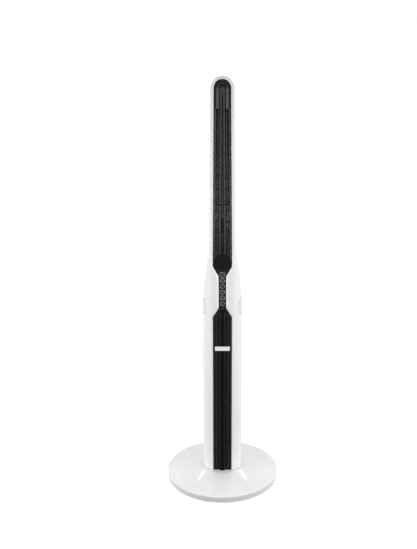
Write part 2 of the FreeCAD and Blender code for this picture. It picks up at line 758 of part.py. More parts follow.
def press_key(z, radius):
    """Key cap with the flange that holds it behind the panel."""
    cap = rod_y(radius, FACE_Y - KEY_RISE, PANEL_SEAT_Y + SWITCH_GAP + SEAT, 0, z)
    flange_y = PANEL_SEAT_Y + SWITCH_GAP
    flange = rod_y(radius + KEY_FLANGE_W, flange_y, flange_y + KEY_FLANGE_T, 0, z)
    return cap.fuse(flange)


def control_board():
    """Circuit board behind the keys and the display."""
    bottom = key_places()[-1][0] - KEY_PITCH
    top = DISPLAY_Z + DISPLAY_RIM_R
    return box(-BOARD_HALF, BOARD_HALF, LEDGE_BACK_Y, LEDGE_BACK_Y + BOARD_T, bottom, top)


def key_switches():
    """Small switches on the board, one behind each key."""
    top_y = PANEL_SEAT_Y + SWITCH_GAP + KEY_FLANGE_T + KEY_TRAVEL + SWITCH_GAP
    half = SWITCH_W / 2
    return group([box(-half, half, top_y, LEDGE_BACK_Y, z - half, z + half) for z, _ in key_places()])


def display_module():
    """Digit module on the board behind the lens."""
    front_y = FACE_Y - DISPLAY_RIM_RISE + LENS_T + FIT
    half_w, half_h = MODULE_W / 2, MODULE_H / 2
    return box(-half_w, half_w, front_y, LEDGE_BACK_Y, DISPLAY_Z - half_h, DISPLAY_Z + half_h)


def slot_bar_heights():
    """Heights of the cross bars between the first and the last slot."""
    count = round((SLOT_TOP - SLOT_BOTTOM) / SLOT_PITCH)
    return [SLOT_BOTTOM + SLOT_PITCH * i for i in range(1, count)]


def grille_half(z):
    """Half-width of the inset beside the grille at height z."""
    share = (z - UPPER_FUNNEL_TOP) / (INSET_TOP - UPPER_FUNNEL_TOP)
    return INSET_BLADE_HALF + (INSET_TOP_HALF - INSET_BLADE_HALF) * share


def grille_wire(inset, y):
    """Arched outline of the grille at depth y, moved inwards by inset."""
    low, high = grille_half(DISPLAY_Z) - inset, INSET_TOP_HALF - inset
    top = INSET_TOP - inset
    corners = [(-low, DISPLAY_Z), (low, DISPLAY_Z), (high, top), (-high, top)]
    turn = INSET_TOP_HALF - FIT - inset
    return rounded_wire(corners, [0.0, 0.0, turn, turn], upright(y))


def grille_prism(inset, y0, y1):
    """Everything inside an outline of the grille, from y0 to y1."""
    return Part.Face(grille_wire(inset, y0)).extrude(Vector(0, y1 - y0, 0))


def grille_ring(span, y0, y1):
    """Arched band between two distances from the edge."""
    return grille_prism(span[0], y0, y1).cut(grille_prism(span[1], y0, y1))


def grille_mound(inset, slope, foot_rise, rise):
    """Raised field inside an outline: an upright foot, then sloping sides up to the rise."""
    foot = grille_prism(inset, FACE_Y - foot_rise, FACE_Y + SEAT)
    wires = [grille_wire(inset, FACE_Y - foot_rise), grille_wire(inset + slope, FACE_Y - rise)]
    return Part.makeLoft(wires, True, True).fuse(foot)


def grille_dip(inset, slope, foot_rise, rise):
    """Cutter inside an outline, upright at the foot, that opens towards the front by slope."""
    foot = grille_prism(inset, FACE_Y - foot_rise, FACE_Y + SEAT)
    wires = [grille_wire(inset, FACE_Y - foot_rise), grille_wire(inset - slope, FACE_Y - rise)]
    return Part.makeLoft(wires, True, True).fuse(foot)


def grille_ridge(span, foot_rise, rise):
    """Arched ridge between two distances from the edge, with a gabled top and a narrow crest."""
    slope = (span[1] - span[0] - CREST_W) / 2
    return grille_mound(span[0], slope, foot_rise, rise).cut(grille_dip(span[1], slope, foot_rise, rise))


def grille_roof(span, rise):
    """Arched facet that climbs from the outer to the inner distance, where it breaks off."""
    facet = grille_mound(span[0], span[1] - span[0], 0.0, rise)
    return facet.cut(grille_prism(span[1], FRONT_Y - FAR, PANEL_SEAT_Y))


def grille_channel():
    """Cutter of the channel down the middle of the grille; it widens towards the display."""
    wires = []
    for inset, y in ((CHANNEL_FLOOR, FACE_Y - CHANNEL_RISE), (CHANNEL_MOUTH, FACE_Y - MAIN_RIB_RISE)):
        low, high = grille_half(DISPLAY_Z) - inset, grille_half(CHANNEL_TOP) - inset
        corners = [(-low, DISPLAY_Z), (low, DISPLAY_Z), (high, CHANNEL_TOP), (-high, CHANNEL_TOP)]
        wires.append(polygon(corners, upright(y)))
    return Part.makeLoft(wires, True, True)


def main_rib():
    """Raised middle of the grille with bevelled flanks and the channel down its length."""
    return grille_mound(GROOVE[1], MAIN_RIB_SLOPE, MAIN_RIB_FOOT_RISE, MAIN_RIB_RISE).cut(grille_channel())


def cross_bar(z, thick, rise):
    """Bar across the grille with a rounded front."""
    half = grille_half(z) - SLOT[0] + SEAT
    radius = BAR_T / 2
    y0 = FACE_Y - rise + radius
    bar = box(-half, half, y0, PANEL_SEAT_Y, z - thick / 2, z + thick / 2)
    noses = [rod_x(radius, -half, half, y0, z + side * (thick / 2 - radius)) for side in (-1, 1)]
    return bar.fuse(noses)


def outlet_grille():
    """Tall outlet panel: rim bead, slots, thin ribs, middle rib, flutes and cross bars."""
    bottom = DISPLAY_Z + FIT
    zone = band(bottom, TOP_Z).cut(rod_y(DISPLAY_RIM_R + FIT, -FAR, FAR, 0, DISPLAY_Z))
    middle, low, high = band(SLOT_BOTTOM, SLOT_TOP), band(bottom, SLOT_BOTTOM), band(SLOT_TOP, TOP_Z)
    plate = inset_prism(-FIT, FACE_Y, PANEL_SEAT_Y)
    through = [grille_ring(span, FRONT_Y, PANEL_SEAT_Y + OVERCUT).common(middle) for span in (SLOT, GROOVE)]
    sunk = [grille_ring(GROOVE, FRONT_Y, FACE_Y + GROOVE_DEPTH)]
    sunk.append(grille_ring((SLOT[0], LOW_FLUTE[0]), FRONT_Y, FACE_Y + GROOVE_DEPTH).common(low))
    plate = plate.cut(through + sunk)
    ribs = [grille_ridge(RIM_BEAD, RIM_BEAD_FOOT_RISE, RIM_BEAD_RISE).common(band(bottom, SLOT_TOP))]
    ribs.append(main_rib())
    ribs.append(grille_ridge(THIN_RIB, THIN_RIB_FOOT_RISE, THIN_RIB_RISE).common(middle))
    ribs.append(grille_roof((SLOT[0], THIN_RIB[1]), HIGH_FLUTE_RISE).common(high))
    ribs.append(grille_roof(LOW_FLUTE, LOW_FLUTE_RISE).common(low))
    ribs += [cross_bar(z, BAR_T, BAR_RISE) for z in slot_bar_heights()]
    ribs.append(cross_bar(JOINT_Z, JOINT_BAR_T, BAR_RISE))
    grille = plate.fuse(ribs).common(zone)
    tick_y = FACE_Y - MAIN_RIB_RISE + TICK_DEPTH
    cuts = []
    for z in slot_bar_heights():
        cuts.append(box(-SLOT[1], SLOT[1], FRONT_Y - FAR, tick_y, z - TICK_T / 2, z + TICK_T / 2))
    joint_half = grille_half(JOINT_Z) - SLOT[0]
    joint_z0 = JOINT_Z - JOINT_T / 2
    cuts.append(box(-joint_half, joint_half, FRONT_Y - FAR, FACE_Y, joint_z0, joint_z0 + JOINT_T))
    z0, z1 = sensor_span()
    cuts.append(box(-SENSOR_HALF, SENSOR_HALF, FRONT_Y - FAR, sensor_seat_y(), z0, z1))
    return grille.cut(cuts)


def sensor_span():
    """Height range of the sensor window in the middle channel."""
    bottom = SLOT_BOTTOM + SENSOR_LIFT
    return bottom, bottom + SENSOR_H


def sensor_seat_y():
    """Depth of the seat of the sensor window."""
    return FACE_Y - CHANNEL_RISE + SENSOR_DEPTH


def sensor_window():
    """Dark window set in the channel of the grille."""
    z0, z1 = sensor_span()
    back_y = sensor_seat_y()
    half = SENSOR_HALF - FIT
    return box(-half, half, back_y - SENSOR_T, back_y, z0 + FIT, z1 - FIT)


def heater_frame():
    """Frame of the ceramic heater, seated on the ledge behind the grille."""
    back_y = LEDGE_BACK_Y + HEATER_DEPTH
    frame = box(-HEATER_HALF, HEATER_HALF, LEDGE_BACK_Y, back_y, HEATER_BOTTOM, HEATER_TOP)
    open_half = HEATER_HALF - HEATER_RAIL
    window = box(-open_half, open_half, FRONT_Y, FAR, HEATER_BOTTOM + HEATER_END, HEATER_TOP - HEATER_END)
    return frame.cut(window)


def heater_core_span():
    """Depth and height range of the fins and ceramic bars."""
    return (LEDGE_BACK_Y + FIN_INSET, LEDGE_BACK_Y + HEATER_DEPTH - FIN_INSET,
            HEATER_BOTTOM + HEATER_END, HEATER_TOP - HEATER_END)


def ptc_bars():
    """Two upright ceramic heating bars."""
    y0, y1, z0, z1 = heater_core_span()
    return group(both_sides(box(PTC_X - PTC_T / 2, PTC_X + PTC_T / 2, y0, y1, z0, z1)))


def ribbon(points, thick):
    """Closed outline of a strip that follows square bends."""
    sides = []
    for way in (1, -1):
        side = []
        for i, (x, z) in enumerate(points):
            before = points[max(i - 1, 0)]
            after = points[min(i + 1, len(points) - 1)]
            ins = (x - before[0], z - before[1])
            outs = (after[0] - x, after[1] - z)
            normals = [(-d[1] / (abs(d[0]) + abs(d[1])), d[0] / (abs(d[0]) + abs(d[1])))
                       for d in (ins, outs) if d != (0, 0)]
            shift = [sum(n[k] for n in normals) if len(normals) == 2 and normals[0] != normals[1]
                     else normals[0][k] for k in (0, 1)]
            side.append((x + way * shift[0] * thick / 2, z + way * shift[1] * thick / 2))
        sides.append(side)
    return sides[0] + sides[1][::-1]


def fin_stack(x0, x1):
    """Folded aluminium fin strip between two upright planes."""
    y0, y1, z0, z1 = heater_core_span()
    inner0, inner1 = x0 + FIN_T / 2, x1 - FIN_T / 2
    step = FIN_PITCH / 2
    runs = int((z1 - z0 - FIN_T) / step)
    bottom = (z0 + z1 - runs * step) / 2
    path = []
    for i in range(runs + 1):
        z = bottom + step * i
        ends = [(inner0, z), (inner1, z)]
        path += ends if i % 2 == 0 else ends[::-1]
    return Part.Face(polygon(ribbon(path, FIN_T), upright(y0))).extrude(Vector(0, y1 - y0, 0))


def heater_fins():
    """Three fin stacks beside and between the ceramic bars."""
    rail = HEATER_HALF - HEATER_RAIL - FIN_GAP
    inner, outer = PTC_X - PTC_T / 2 - FIN_GAP, PTC_X + PTC_T / 2 + FIN_GAP
    return group([fin_stack(-rail, -outer), fin_stack(-inner, inner), fin_stack(outer, rail)])


def thermal_cutout():
    """Thermal cut-out under the heater frame, with its two tabs."""
    y = LEDGE_BACK_Y + HEATER_DEPTH / 2
    foot = HEATER_BOTTOM - CUTOUT_H
    body = rod_z(CUTOUT_R, foot, HEATER_BOTTOM, 0, y)
    tabs = both_sides(box(TAB_X, TAB_X + TAB_W, y - TAB_T / 2, y + TAB_T / 2, foot - TAB_L, foot))
    return body.fuse(tabs)


def fan_deck():
    """Deck across the column with the fan opening and the spider that carries the motor."""
    z1 = DECK_Z + DECK_T
    deck = tower_body(WALL + FIT, TOWER_BOTTOM).common(box(-FAR, FAR, DECK_FRONT_Y, FAR, DECK_Z, z1))
    deck = deck.cut(rod_z(SHROUD_R, DECK_Z, z1, 0, FAN_Y))
    spider = [tube_z(SPIDER_R, SPIDER_BORE_R, DECK_Z, z1, 0, FAN_Y)]
    half = SPIDER_ARM_W / 2
    for i in range(SPIDER_ARMS):
        arm = box(SPIDER_R - SPIDER_LAP, SHROUD_R + SPIDER_LAP, -half, half, DECK_Z, z1)
        arm.rotate(Vector(0, 0, 0), Vector(0, 0, 1), 90 + 360 / SPIDER_ARMS * i)
        spider.append(arm.translated(Vector(0, FAN_Y, 0)))
    deck = deck.fuse(spider)
    return deck.cut([rod_z(SMALL_SCREW_R + RUN, DECK_Z, z1, x, y) for x, y in motor_screw_places()])


def motor_screw_places():
    """Screws through the spider into the fan motor."""
    angles = [MOTOR_SCREW_START + 360 / MOTOR_SCREW_COUNT * i for i in range(MOTOR_SCREW_COUNT)]
    return [(x, y + FAN_Y) for x, y in (polar(MOTOR_SCREW_RING_R, angle) for angle in angles)]


def motor_screws():
    """Screws that hang the fan motor on the spider."""
    top = DECK_Z + DECK_T
    length = DECK_T + MOTOR_SCREW_GRIP
    return group([screw_z(SMALL_SCREW_R, SMALL_HEAD_R, SMALL_HEAD_H, top, length, False, x, y)
                  for x, y in motor_screw_places()])


def fan_motor():
    """Fan motor can with a narrower end bell and the bore of the shaft."""
    bottom = DECK_Z - FAN_MOTOR_H
    shelf = bottom + FAN_BELL_H
    can = rod_z(FAN_MOTOR_R, shelf, DECK_Z, 0, FAN_Y)
    bell = rod_z(FAN_BELL_R, bottom, shelf, 0, FAN_Y)
    pilot = DECK_Z - MOTOR_SCREW_GRIP - PILOT_SPARE
    holes = [rod_z(FAN_SHAFT_R + RUN, bottom, DECK_Z, 0, FAN_Y)]
    holes += [rod_z(SMALL_SCREW_R + RUN, pilot, DECK_Z, x, y) for x, y in motor_screw_places()]
    return can.fuse(bell).cut(holes)


def fan_shaft():
    """Motor shaft that carries the impeller."""
    return rod_z(FAN_SHAFT_R, DECK_Z - FAN_MOTOR_H + FAN_SHAFT_INSET, impeller_span()[1], 0, FAN_Y)


def impeller_span():
    """Height range of the impeller hub."""
    bottom = DECK_Z + DECK_T + SMALL_HEAD_H + IMPELLER_GAP
    return bottom, bottom + IMPELLER_HUB_H


def impeller():
    """Hub with pitched blades."""
    z0, z1 = impeller_span()
    hub = rod_z(IMPELLER_HUB_R, z0, z1 - NOSE_H)
    nose = Part.makeCone(IMPELLER_HUB_R, NOSE_R, NOSE_H, Vector(0, 0, z1 - NOSE_H))
    ring = tube_z(IMPELLER_R, IMPELLER_HUB_R - BLADE_ROOT, z0, z0 + IMPELLER_H)
    reach = IMPELLER_R + BLADE_ROOT
    middle = z0 + IMPELLER_H / 2
    blades = []
    for i in range(IMPELLER_BLADES):
        blade = box(0, reach, -BLADE_T / 2, BLADE_T / 2, -IMPELLER_H, IMPELLER_H)
        blade.rotate(Vector(0, 0, 0), Vector(1, 0, 0), BLADE_PITCH_ANGLE)
        blade.rotate(Vector(0, 0, 0), Vector(0, 0, 1), 360 / IMPELLER_BLADES * i)
        blades.append(blade.translated(Vector(0, 0, middle)).common(ring))
    wheel = fused([hub, nose] + blades).cut(rod_z(FAN_SHAFT_R + RUN, z0, z1))
    return wheel.translated(Vector(0, FAN_Y, 0))


def fan_shroud():
    """Round shroud that the impeller runs in."""
    return tube_z(SHROUD_R + SHROUD_T, SHROUD_R, DECK_Z + DECK_T, SHROUD_TOP, 0, FAN_Y)


def duct_wire(inset, top):
    """Outline of the air duct at its round foot or its blade-shaped top."""
    if top:
        half = DUCT_TOP_HALF - inset
        y0, y1 = LEDGE_BACK_Y + BOARD_T + DUCT_BOARD_GAP + inset, DUCT_TOP_BACK - inset
        radii = [BLADE_FRONT_ROUND - inset] * 2 + [BLADE_BACK_ROUND - inset] * 2
        z = DUCT_TOP_Z
    else:
        half = SHROUD_R + SHROUD_T - inset
        y0, y1 = FAN_Y - half, FAN_Y + half
        radii = [half - DUCT_FLAT] * 4
        z = SHROUD_TOP
    return rounded_wire([(-half, y0), (half, y0), (half, y1), (-half, y1)], radii, level(z))


def air_duct():
    """Duct from the round shroud to the blade."""
    outer = Part.makeLoft([duct_wire(0.0, False), duct_wire(0.0, True)], True, True)
    inner = Part.makeLoft([duct_wire(DUCT_T, False), duct_wire(DUCT_T, True)], True, True)
    return outer.cut(inner)


def board_post_places():
    """Right-hand posts of the power board."""
    x = POWER_BOARD_HALF - POST_INSET
    return [(x, POWER_BOARD_BOTTOM + POST_INSET), (x, POWER_BOARD_TOP - POST_INSET)]


def power_board():
    """Power board on its posts in the rear housing."""
    board = box(-POWER_BOARD_HALF, POWER_BOARD_HALF, POWER_BOARD_Y, POWER_BOARD_Y + BOARD_T,
                POWER_BOARD_BOTTOM, POWER_BOARD_TOP)
    holes = []
    for x, z in board_post_places():
        holes += both_sides(rod_y(SMALL_SCREW_R + RUN, POWER_BOARD_Y, POWER_BOARD_Y + BOARD_T, x, z))
    return board.cut(holes)


def power_board_screws():
    """Screws of the power board."""
    screws = []
    for x, z in board_post_places():
        shank = rod_y(SMALL_SCREW_R, POWER_BOARD_Y, POWER_BOARD_Y + SCREW_GRIP - PILOT_SPARE, x, z)
        head = rod_y(SMALL_HEAD_R, POWER_BOARD_Y - SMALL_HEAD_H, POWER_BOARD_Y, x, z)
        screws += both_sides(shank.fuse(head))
    return group(screws)


def board_block(left, right, height, low, high, lift=0.0):
    """Block on the front of the power board; edges are measured from the board's foot."""
    low += POWER_BOARD_BOTTOM + lift
    high += POWER_BOARD_BOTTOM + lift
    return box(left, right, POWER_BOARD_Y - height, POWER_BOARD_Y, low, high)


def heat_sink():
    """Heat sink with upright fins."""
    left, right, _, low, high = SINK_PLATE
    step = (right - left - SINK_FIN_T) / (SINK_FIN_COUNT - 1)
    pieces = [board_block(*SINK_PLATE)]
    for i in range(SINK_FIN_COUNT):
        x = left + step * i
        pieces.append(board_block(x, x + SINK_FIN_T, SINK_FIN_H, low, high))
    return fused(pieces)


def power_components():
    """Relays, transformer, capacitor and heat sink on the power board."""
    pieces = [board_block(*RELAY, lift=RELAY_PITCH * i) for i in range(RELAY_COUNT)]
    pieces.append(board_block(*TRANSFORMER))
    pieces.append(rod_y(CAPACITOR_R, POWER_BOARD_Y - CAPACITOR_H, POWER_BOARD_Y, CAPACITOR_X,
                        POWER_BOARD_BOTTOM + CAPACITOR_Z))
    pieces.append(heat_sink())
    return group(pieces)


def base_cover_solid(drop, round_r, foot_z, roof_z):
    """Round solid with a conical upper face; drop moves rim and cone inwards, roof_z cuts it flat."""
    slope = math.atan2(BASE_HUB_Z - BASE_EDGE_Z, BASE_R - BASE_HUB_R)
    fall = drop / math.cos(slope)
    rim = BASE_R - drop
    edge_z = BASE_HUB_Z - (rim - BASE_HUB_R) * math.tan(slope) - fall
    eave = BASE_HUB_R + (BASE_HUB_Z - roof_z - fall) / math.tan(slope)
    corners = [(0.0, foot_z), (rim, foot_z), (rim, edge_z), (eave, roof_z), (0.0, roof_z)]
    wire = rounded_wire(corners, [0.0, 0.0, round_r, 0.0, 0.0], upright(0.0))
    return Part.Face(wire).revolve(Vector(0, 0, 0), Vector(0, 0, 1), 360)


def base_screw_places():
    """Plan places of the screws between base plate and cover."""
    return [polar(BASE_SCREW_RING_R, angle) for angle in BASE_SCREW_ANGLES]


def base_cover():
    """Domed cover with the swivel boss, screw bosses and the cord hole."""
    outer = base_cover_solid(0.0, BASE_RIM_ROUND, SKIRT_GAP, BASE_HUB_Z)
    inner = base_cover_solid(COVER_T, 0.0, SKIRT_GAP, BASE_HUB_Z - COVER_T)
    bosses = [rod_z(HUB_BOSS_R, BASE_HUB_Z - HUB_BOSS_T, BASE_HUB_Z)]
    holes = [rod_z(SPIGOT_R + RUN, 0, BASE_HUB_Z + OVERCUT)]
    holes.append(tube_z(BEARING_OUT_R + RUN, BEARING_IN_R - RUN, BEARING_Z, BASE_HUB_Z + OVERCUT))
    for x, y in base_screw_places():
        bosses.append(rod_z(SCREW_BOSS_R, PLATE_TOP, BASE_HUB_Z, x, y).common(inner))
        holes.append(rod_z(SCREW_R + RUN, PLATE_TOP, PLATE_TOP + SCREW_GRIP, x, y))
    holes.append(rod_y(GLAND_R + FIT, gland_span()[0], BASE_R, 0, GLAND_Z))
    return outer.cut(inner).fuse(bosses).cut(holes)


def base_plate():
    """Floor plate of the base with motor posts and clearance holes."""
    plate = rod_z(BASE_R - COVER_T - FIT, FOOT_H, PLATE_TOP)
    ear_z = DRIVE_MOTOR_TOP - DRIVE_EAR_T
    posts = both_sides(rod_z(DRIVE_POST_R, PLATE_TOP - SEAT, ear_z, DRIVE_EAR_X, DRIVE_Y))
    holes = [rod_z(TIP_PIN_R + RUN, 0, PLATE_TOP, TIP_X, 0)]
    for x, y in base_screw_places():
        holes.append(rod_z(SCREW_R + RUN, 0, PLATE_TOP, x, y))
        holes.append(rod_z(COUNTERBORE_R, 0, FOOT_H + SCREW_HEAD_H, x, y))
    half = GLAND_R + FIT
    holes.append(box(-half, half, gland_span()[0] + GLAND_COLLAR_L, BASE_R, 0, PLATE_TOP))
    holes += both_sides(rod_z(SMALL_SCREW_R + RUN, PLATE_TOP, ear_z, DRIVE_EAR_X, DRIVE_Y))
    return plate.fuse(posts).cut(holes)


def base_screws():
    """Screws from below through the plate into the cover."""
    seat = FOOT_H + SCREW_HEAD_H
    length = PLATE_TOP - seat + SCREW_GRIP - PILOT_SPARE
    return group([screw_z(SCREW_R, SCREW_HEAD_R, SCREW_HEAD_H - FIT, seat, length, True, x, y)
                  for x, y in base_screw_places()])


def ballast_ring():
    """Iron weight ring on the base plate, notched for the cord gland."""
    ring = tube_z(BALLAST_OUT_R, BALLAST_IN_R, PLATE_TOP, PLATE_TOP + BALLAST_T)
    half = GLAND_COLLAR_HALF + BALLAST_NOTCH_GAP
    y0 = gland_span()[0] - BALLAST_NOTCH_GAP
    return ring.cut(box(-half, half, y0, BASE_R, PLATE_TOP, PLATE_TOP + BALLAST_T))


def rubber_feet():
    """Round feet under the base plate."""
    feet = []
    for i in range(FOOT_COUNT):
        x, y = polar(FOOT_RING_R, 360 / FOOT_COUNT * i)
        pad = rod_z(FOOT_R, FOOT_CHAMFER, FOOT_H, x, y)
        sole = Part.makeCone(FOOT_R - FOOT_CHAMFER, FOOT_R, FOOT_CHAMFER, Vector(x, y, 0))
        feet.append(pad.fuse(sole))
    return group(feet)


def gland_span():
    """Inner and outer end of the cord gland."""
    outer = BASE_R - GLAND_INSET
    return outer - GLAND_L, outer


def cord_gland():
    """Gland for the power lead: a snout in the rim and a collar clamped on the plate."""
    y0, y1 = gland_span()
    snout = rod_y(GLAND_R, y0, y1, 0, GLAND_Z)
    top = GLAND_Z + GLAND_R - FIT
    collar = box(-GLAND_COLLAR_HALF, GLAND_COLLAR_HALF, y0, y0 + GLAND_COLLAR_L - FIT, PLATE_TOP, top)
    trim = box(-FAR, FAR, y0, y0 + GLAND_COLLAR_L, 0, PLATE_TOP)
    return snout.fuse(collar).cut([trim, rod_y(GLAND_BORE_R, y0, y1, 0, GLAND_Z)])


def swivel_bearing():
    """Slippery ring that the tower turns on."""
    return tube_z(BEARING_OUT_R, BEARING_IN_R, BEARING_Z, BEARING_Z + BEARING_T)


def swivel_hub():
    """Foot plate of the tower with the hollow spigot that turns in the base."""
    top = TOWER_BOTTOM + HUB_PLATE_T
    plate = Part.Face(section_wire(TOWER_BOTTOM, WALL + FIT)).extrude(Vector(0, 0, HUB_PLATE_T))
    notch = inset_prism(FRAME_W + FIT, -FAR, LEDGE_BACK_Y + FIT)
    spigot = rod_z(SPIGOT_R, GEAR_TOP, top)
    holes = [rod_z(SPIGOT_BORE_R, 0, top + OVERCUT)]
    for front in (True, False):
        x, y = hub_screw_place(front)
        holes += both_sides(rod_z(SCREW_R + RUN, 0, top + OVERCUT, x, y))
        holes += both_sides(rod_z(COUNTERBORE_R, 0, TOWER_BOTTOM + SCREW_HEAD_H, x, y))
    pilot = GEAR_TOP + GEAR_SCREW_GRIP + PILOT_SPARE
    holes += [rod_z(SMALL_SCREW_R + RUN, 0, pilot, x, y) for x, y in gear_screw_places()]
    return plate.cut(notch).fuse(spigot).cut(holes)


def hub_screws():
    """Screws from the hub plate up into the housings."""
    seat = TOWER_BOTTOM + SCREW_HEAD_H
    length = HUB_PLATE_T - SCREW_HEAD_H + SCREW_GRIP - PILOT_SPARE
    screws = []
    for front in (True, False):
        x, y = hub_screw_place(front)
        screws += both_sides(screw_z(SCREW_R, SCREW_HEAD_R, SCREW_HEAD_H - FIT, seat, length, True, x, y))
    return group(screws)


def gear_screw_places():
    """Plan places of the screws between the gear and the spigot."""
    ring = (SPIGOT_R + SPIGOT_BORE_R) / 2
    step = 360 / GEAR_SCREW_COUNT
    return [polar(ring, GEAR_SCREW_START + step * i) for i in range(GEAR_SCREW_COUNT)]


def gear_screws():
    """Screws from below through the sector gear into the spigot."""
    length = GEAR_T + GEAR_SCREW_GRIP
    return group([screw_z(SMALL_SCREW_R, SMALL_HEAD_R, SMALL_HEAD_H, GEAR_BOTTOM, length, True, x, y)
                  for x, y in gear_screw_places()])


def tooth_points(teeth, centre):
    """Outline of one involute tooth about the angle centre, from root to root."""
    pitch_r = GEAR_MODULE * teeth / 2
    base_r = pitch_r * math.cos(PRESSURE_ANGLE)
    tip_r = pitch_r + ADDENDUM * GEAR_MODULE
    root_r = pitch_r - DEDENDUM * GEAR_MODULE
    half = math.pi / (2 * teeth) - BACKLASH / (2 * pitch_r)
    start = half + math.tan(PRESSURE_ANGLE) - PRESSURE_ANGLE
    low = max(base_r, root_r)
    flank = []
    for i in range(FLANK_STEPS + 1):
        radius = low + (tip_r - low) * i / FLANK_STEPS
        roll = math.acos(min(base_r / radius, 1.0))
        flank.append((radius, start - (math.tan(roll) - roll)))
    if root_r < low:
        flank.insert(0, (root_r, flank[0][1]))
    rising = [(r * math.cos(centre - a), r * math.sin(centre - a)) for r, a in flank]
    falling = [(r * math.cos(centre + a), r * math.sin(centre + a)) for r, a in reversed(flank)]
    return rising + falling


def sector_gear():
    """Toothed sector under the hub, with a tooth on the line to the pinion."""
    pitch = 2 * math.pi / GEAR_TEETH
    first = math.pi / 2 - pitch * (SECTOR_TEETH // 2)
    outline = [(0.0, 0.0)]
    for i in range(SECTOR_TEETH):
        outline += tooth_points(GEAR_TEETH, first + pitch * i)
    plate = Part.Face(polygon(outline, level(GEAR_BOTTOM))).extrude(Vector(0, 0, GEAR_T))
    plate = plate.fuse(rod_z(GEAR_RING_R, GEAR_BOTTOM, GEAR_TOP))
    holes = [rod_z(SPIGOT_BORE_R, 0, GEAR_TOP + OVERCUT)]
    holes += [rod_z(SMALL_SCREW_R + RUN, 0, GEAR_TOP + OVERCUT, x, y) for x, y in gear_screw_places()]
    return plate.cut(holes)


def drive_pinion():
    """Pinion of the swing drive, with a gap on the line to the sector gear."""
    pitch = 2 * math.pi / PINION_TEETH
    outline = []
    for i in range(PINION_TEETH):
        outline += tooth_points(PINION_TEETH, -math.pi / 2 + pitch * (i + 0.5))
    wheel = Part.Face(polygon(outline, level(GEAR_BOTTOM))).extrude(Vector(0, 0, GEAR_T))
    return wheel.cut(rod_z(DRIVE_SHAFT_R + RUN, 0, GEAR_TOP + OVERCUT)).translated(Vector(0, DRIVE_Y, 0))


def pinion_shaft():
    """Output shaft of the gear motor."""
    return rod_z(DRIVE_SHAFT_R, PLATE_TOP + DRIVE_SHAFT_FOOT, GEAR_TOP, 0, DRIVE_Y)


def swing_motor():
    """Flat gear motor of the swing drive with two fixing ears."""
    can = rod_z(DRIVE_MOTOR_R, PLATE_TOP, DRIVE_MOTOR_TOP, 0, DRIVE_Y)
    ear_z = DRIVE_MOTOR_TOP - DRIVE_EAR_T
    y0, y1 = DRIVE_Y - DRIVE_EAR_R, DRIVE_Y + DRIVE_EAR_R
    bridge = box(-DRIVE_EAR_X, DRIVE_EAR_X, y0, y1, ear_z, DRIVE_MOTOR_TOP)
    ears = both_sides(rod_z(DRIVE_EAR_R, ear_z, DRIVE_MOTOR_TOP, DRIVE_EAR_X, DRIVE_Y))
    shaft_foot = PLATE_TOP + DRIVE_SHAFT_FOOT - FIT
    holes = [rod_z(DRIVE_SHAFT_R + RUN, shaft_foot, DRIVE_MOTOR_TOP, 0, DRIVE_Y)]
    holes += both_sides(rod_z(SMALL_SCREW_R + RUN, 0, DRIVE_MOTOR_TOP, DRIVE_EAR_X, DRIVE_Y))
    return can.fuse([bridge] + ears).cut(holes)


def swing_motor_screws():
    """Screws of the gear motor's ears."""
    return group(both_sides(screw_z(SMALL_SCREW_R, SMALL_HEAD_R, SMALL_HEAD_H, DRIVE_MOTOR_TOP,
                                    DRIVE_EAR_T + DRIVE_SCREW_GRIP, False, DRIVE_EAR_X, DRIVE_Y)))


def tip_switch():
    """Tip-over switch on two legs above its plunger."""
    bottom = tip_top() + TIP_GAP
    half_l, half_w = TIP_BODY_L / 2, TIP_BODY_W / 2
    body = box(TIP_X - half_w, TIP_X + half_w, -half_l, half_l, bottom, bottom + TIP_BODY_H)
    legs = [box(TIP_X - half_w, TIP_X + half_w, y, y + TIP_LEG_W, PLATE_TOP, bottom)
            for y in (-half_l, half_l - TIP_LEG_W)]
    return body.fuse(legs)


def tip_top():
    """Height of the plunger's top with the heater standing."""
    return PLATE_TOP + SEAT + TIP_TRAVEL + TIP_FLANGE_T


def tip_plunger():
    """Plunger that the floor holds up; it drops out when the heater is lifted."""
    top = tip_top()
    return rod_z(TIP_PIN_R, 0, top, TIP_X, 0).fuse(rod_z(TIP_FLANGE_R, top - TIP_FLANGE_T, top, TIP_X, 0))


def build():
    """Every node of the heater by name."""
    shell = housing_shell()
    core = tower_body(WALL - SEAT, TOWER_BOTTOM)
    nodes = {
        "front_housing": front_housing(shell, core),
        "rear_housing": rear_housing(shell, core),
    }
    makers = (
        intake_filter, housing_screws, lower_trim, badge_plate, control_panel, display_lens, control_board,
        key_switches, display_module, outlet_grille, sensor_window, heater_frame, ptc_bars, heater_fins,
        thermal_cutout, fan_deck, motor_screws, fan_motor, fan_shaft, impeller, fan_shroud, air_duct,
        power_board, power_board_screws, power_components, base_cover, base_plate, base_screws, ballast_ring,
        rubber_feet, cord_gland, swivel_bearing, swivel_hub, hub_screws, gear_screws, sector_gear,
        drive_pinion, pinion_shaft, swing_motor, swing_motor_screws, tip_switch, tip_plunger,
    )
    for maker in makers:
        nodes[maker.__name__] = maker()
    for i, (z, radius) in enumerate(key_places()):
        name = "power_key" if i == 0 else f"control_key_{i}"
        nodes[name] = press_key(z, radius)
    return nodes


os.makedirs("parts", exist_ok=True)
for node, shape in build().items():
    shape.exportStep(f"parts/{node}.step")
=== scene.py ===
"""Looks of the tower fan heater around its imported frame: materials, key marks, light and camera.

Metres. The floor is z = 0, the swing axis is the Z axis and the front faces -Y.
"""
import json
import math

